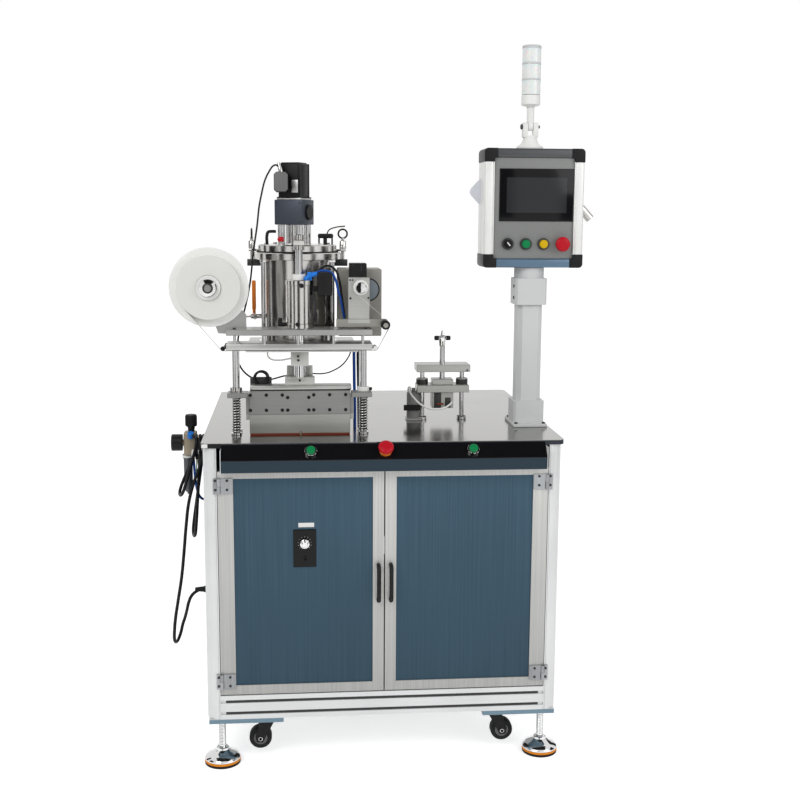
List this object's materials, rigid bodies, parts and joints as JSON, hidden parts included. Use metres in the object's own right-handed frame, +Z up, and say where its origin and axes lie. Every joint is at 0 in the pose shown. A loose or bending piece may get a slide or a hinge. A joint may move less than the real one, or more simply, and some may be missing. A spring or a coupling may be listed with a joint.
{
  "type": "cosmetic pencil filling machine",
  "caption": "Cabinet machine that fills cosmetic pencils: stirred tank over a pneumatic press head, film feed from reel to take-up, clamp fixture and a swivelling control box with signal light.",
  "frame": {"origin": "on the floor, under the middle of the machine's overall box without its cable", "axes": "+Z up, the operator stands at -Y and +X is to the operator's right"},
  "size_m": [1.1184, 0.9126, 1.819],
  "materials": {
    "aluminium": "satin anodised",
    "stainless": "polished stainless steel",
    "chrome": "polished",
    "machined": "ground",
    "dark_blue": "dark blue, brushed",
    "gloss_black": "gloss",
    "black": "satin",
    "rubber": "matt",
    "grey_paint": "light grey paint",
    "gearbox_paint": "dark slate paint",
    "green": "gloss green",
    "yellow": "gloss yellow",
    "red": "gloss red",
    "lens": "translucent white",
    "film": "white film",
    "spring_steel": "bright wire"
  },
  "bodies": {
    "cabinet": {"front_left_column": "aluminium", "front_right_column": "aluminium", "rear_left_column": "aluminium", "rear_right_column": "aluminium", "front_left_foot": "chrome", "front_right_foot": "chrome", "rear_left_foot": "chrome", "rear_right_foot": "chrome", "bottom_frame": "aluminium", "left_side_panel": "dark_blue", "right_side_panel": "dark_blue", "rear_panel": "dark_blue", "table_top": "stainless", "control_fascia": "gloss_black", "left_guide_post": "chrome", "right_guide_post": "chrome", "left_spring": "spring_steel", "right_spring": "spring_steel", "lower_plate": "machined", "upper_plate": "machined", "air_cylinder": "chrome", "tank": "stainless", "tank_lid": "stainless", "stirrer_motor": "gearbox_paint", "takeup_unit": "grey_paint", "film_web": "film", "fixture_frame": "machined", "hmi_post": "grey_paint", "air_regulator": "black", "power_cable": "rubber", "cable_hank": "rubber"},
    "left_door": {"left_door": "dark_blue"},
    "right_door": {"right_door": "dark_blue"},
    "speed_knob": {"speed_knob": "chrome"},
    "press_head": {"press_head": "machined", "filling_block": "machined"},
    "supply_reel": {"supply_reel": "aluminium"},
    "takeup_spindle": {"takeup_spindle": "chrome"},
    "guide_roller": {"guide_roller": "black"},
    "agitator": {"agitator": "stainless"},
    "left_start_button": {"left_start_button": "green"},
    "right_start_button": {"right_start_button": "green"},
    "emergency_stop": {"emergency_stop": "red"},
    "control_box": {"hmi_box": "aluminium", "touch_screen": "gloss_black", "tower_bracket": "black"},
    "tower_lamp": {"tower_lamp": "lens"},
    "selector_switch": {"selector_switch": "black"},
    "hmi_green_button": {"hmi_green_button": "green"},
    "hmi_yellow_button": {"hmi_yellow_button": "yellow"},
    "hmi_emergency_stop": {"hmi_emergency_stop": "red"},
    "fixture_slide": {"fixture_slide": "machined"},
    "front_left_caster": {"front_left_caster": "black"},
    "front_right_caster": {"front_right_caster": "black"},
    "rear_left_caster": {"rear_left_caster": "black"},
    "rear_right_caster": {"rear_right_caster": "black"},
    "front_left_wheel": {"front_left_wheel": "rubber"},
    "front_right_wheel": {"front_right_wheel": "rubber"},
    "rear_left_wheel": {"rear_left_wheel": "rubber"},
    "rear_right_wheel": {"rear_right_wheel": "rubber"}
  },
  "joints": [
    {"name": "left_door_hinge", "type": "hinge", "parent": "cabinet", "child": "left_door", "pos_m": [-0.42071, -0.41218, 0.4788], "axis": [0, 0, -1], "range_deg": [0, 110]},
    {"name": "right_door_hinge", "type": "hinge", "parent": "cabinet", "child": "right_door", "pos_m": [0.39629, -0.41218, 0.4788], "axis": [0, 0, 1], "range_deg": [0, 110]},
    {"name": "speed_knob_turn", "type": "hinge", "parent": "left_door", "child": "speed_knob", "pos_m": [-0.21121, -0.40718, 0.582], "axis": [0, -1, 0], "range_deg": [-135, 135]},
    {"name": "head_slide", "type": "slide", "parent": "cabinet", "child": "press_head", "axis": [0, 0, 1], "range_m": [0, 0.028], "deforming": ["left_spring", "right_spring"]},
    {"name": "supply_reel_spin", "type": "hinge", "parent": "cabinet", "child": "supply_reel", "pos_m": [-0.44201, -0.31718, 1.2094], "axis": [0, -1, 0], "continuous": true},
    {"name": "takeup_spin", "type": "hinge", "parent": "cabinet", "child": "takeup_spindle", "pos_m": [-0.06731, -0.31718, 1.2101], "axis": [0, -1, 0], "continuous": true},
    {"name": "guide_roller_spin", "type": "hinge", "parent": "cabinet", "child": "guide_roller", "pos_m": [-0.00561, -0.31718, 1.1169], "axis": [0, -1, 0], "continuous": true},
    {"name": "agitator_spin", "type": "hinge", "parent": "cabinet", "child": "agitator", "pos_m": [-0.23021, -0.13568, 1.3617], "axis": [0, 0, 1], "continuous": true},
    {"name": "left_start_press", "type": "slide", "parent": "cabinet", "child": "left_start_button", "axis": [0, 0.7071, -0.7071], "range_m": [0, 0.004], "stiffness_N_per_m": 400, "springref_m": -0.002},
    {"name": "right_start_press", "type": "slide", "parent": "cabinet", "child": "right_start_button", "axis": [0, 0.7071, -0.7071], "range_m": [0, 0.004], "stiffness_N_per_m": 400, "springref_m": -0.002},
    {"name": "emergency_stop_press", "type": "slide", "parent": "cabinet", "child": "emergency_stop", "axis": [0, 0.7071, -0.7071], "range_m": [0, 0.004]},
    {"name": "control_box_swivel", "type": "hinge", "parent": "cabinet", "child": "control_box", "pos_m": [0.38629, -0.16868, 1.2555], "axis": [0, 0, 1], "range_deg": [-120, 120]},
    {"name": "tower_fold", "type": "hinge", "parent": "control_box", "child": "tower_lamp", "pos_m": [0.38079, -0.16868, 1.6165], "axis": [-1, 0, 0], "range_deg": [0, 90]},
    {"name": "selector_turn", "type": "hinge", "parent": "control_box", "child": "selector_switch", "pos_m": [0.31909, -0.21268, 1.3165], "axis": [0, -1, 0], "range_deg": [-45, 45]},
    {"name": "hmi_green_press", "type": "slide", "parent": "control_box", "child": "hmi_green_button", "axis": [0, 1, 0], "range_m": [0, 0.004], "stiffness_N_per_m": 400, "springref_m": -0.002},
    {"name": "hmi_yellow_press", "type": "slide", "parent": "control_box", "child": "hmi_yellow_button", "axis": [0, 1, 0], "range_m": [0, 0.004], "stiffness_N_per_m": 400, "springref_m": -0.002},
    {"name": "hmi_stop_press", "type": "slide", "parent": "control_box", "child": "hmi_emergency_stop", "axis": [0, 1, 0], "range_m": [0, 0.004]},
    {"name": "fixture_slide_lift", "type": "slide", "parent": "cabinet", "child": "fixture_slide", "axis": [0, 0, 1], "range_m": [0, 0.018]},
    {"name": "front_left_swivel", "type": "hinge", "parent": "cabinet", "child": "front_left_caster", "pos_m": [-0.30721, -0.33868, 0.1], "axis": [0, 0, 1], "continuous": true},
    {"name": "front_right_swivel", "type": "hinge", "parent": "cabinet", "child": "front_right_caster", "pos_m": [0.28279, -0.33868, 0.1], "axis": [0, 0, 1], "continuous": true},
    {"name": "rear_left_swivel", "type": "hinge", "parent": "cabinet", "child": "rear_left_caster", "pos_m": [-0.30721, 0.37132, 0.1], "axis": [0, 0, 1], "continuous": true},
    {"name": "rear_right_swivel", "type": "hinge", "parent": "cabinet", "child": "rear_right_caster", "pos_m": [0.28279, 0.37132, 0.1], "axis": [0, 0, 1], "continuous": true},
    {"name": "front_left_roll", "type": "hinge", "parent": "front_left_caster", "child": "front_left_wheel", "pos_m": [-0.32821, -0.33868, 0.048], "axis": [0, 1, 0], "continuous": true},
    {"name": "front_right_roll", "type": "hinge", "parent": "front_right_caster", "child": "front_right_wheel", "pos_m": [0.30379, -0.33868, 0.048], "axis": [0, 1, 0], "continuous": true},
    {"name": "rear_left_roll", "type": "hinge", "parent": "rear_left_caster", "child": "rear_left_wheel", "pos_m": [-0.32821, 0.37132, 0.048], "axis": [0, 1, 0], "continuous": true},
    {"name": "rear_right_roll", "type": "hinge", "parent": "rear_right_caster", "child": "rear_right_wheel", "pos_m": [0.30379, 0.37132, 0.048], "axis": [0, 1, 0], "continuous": true}
  ],
  "couplings": [
    {"joint": "takeup_spin", "follows": "supply_reel_spin", "ratio": -4.2432}
  ]
}
